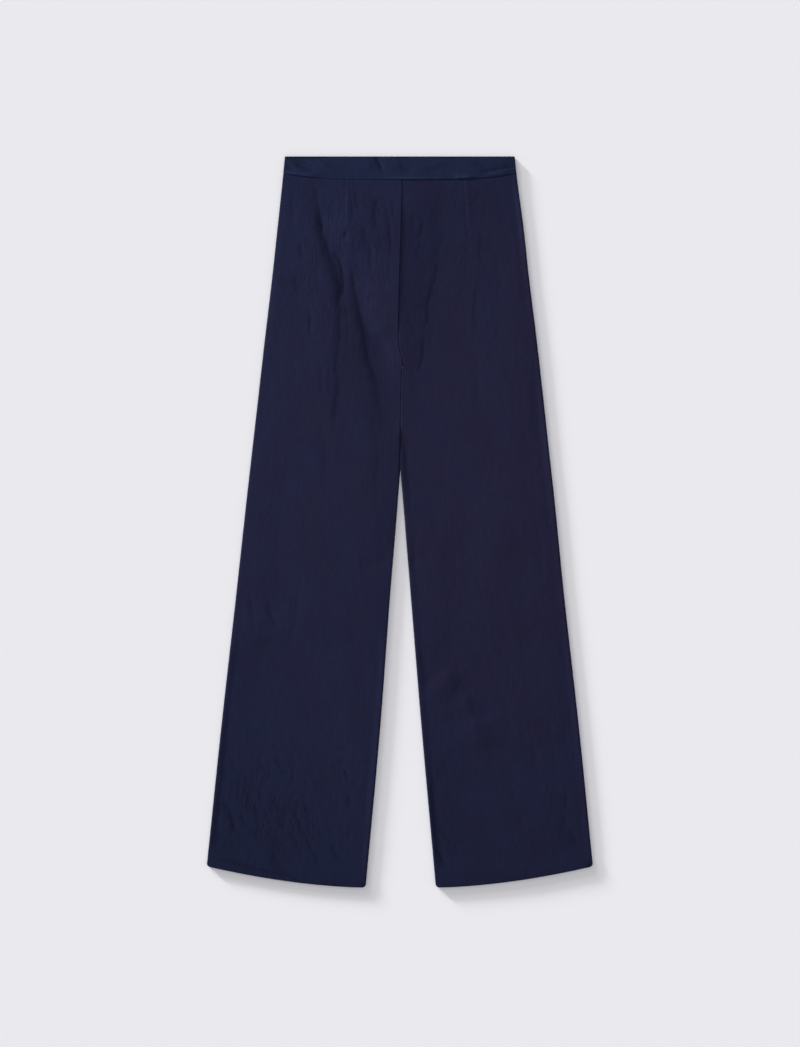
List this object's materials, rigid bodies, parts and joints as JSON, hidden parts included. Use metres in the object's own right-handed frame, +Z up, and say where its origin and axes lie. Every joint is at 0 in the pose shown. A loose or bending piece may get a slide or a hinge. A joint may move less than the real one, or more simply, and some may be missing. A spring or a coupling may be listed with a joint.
{
  "type": "palazzo pants",
  "caption": "High-waisted wide-leg palazzo pants in navy crinkled viscose with a plain shaped waistband and back darts, laid flat on a surface with the back upwards.",
  "frame": {"origin": "on the surface the pants lie on, under the middle of their bounding box", "axes": "+X to the wearer's right, +Y from the hems to the waist, +Z up from the surface through the front layer and then the back layer"},
  "size_m": [0.5778, 1.095, 0.0061],
  "materials": {
    "crinkle_viscose": "matte",
    "band_viscose": "matte"
  },
  "bodies": {
    "root": {"back_left_leg": "crinkle_viscose", "back_right_leg": "crinkle_viscose", "front_left_leg": "crinkle_viscose", "front_right_leg": "crinkle_viscose", "back_waistband": "band_viscose", "front_waistband": "band_viscose"}
  },
  "joints": []
}
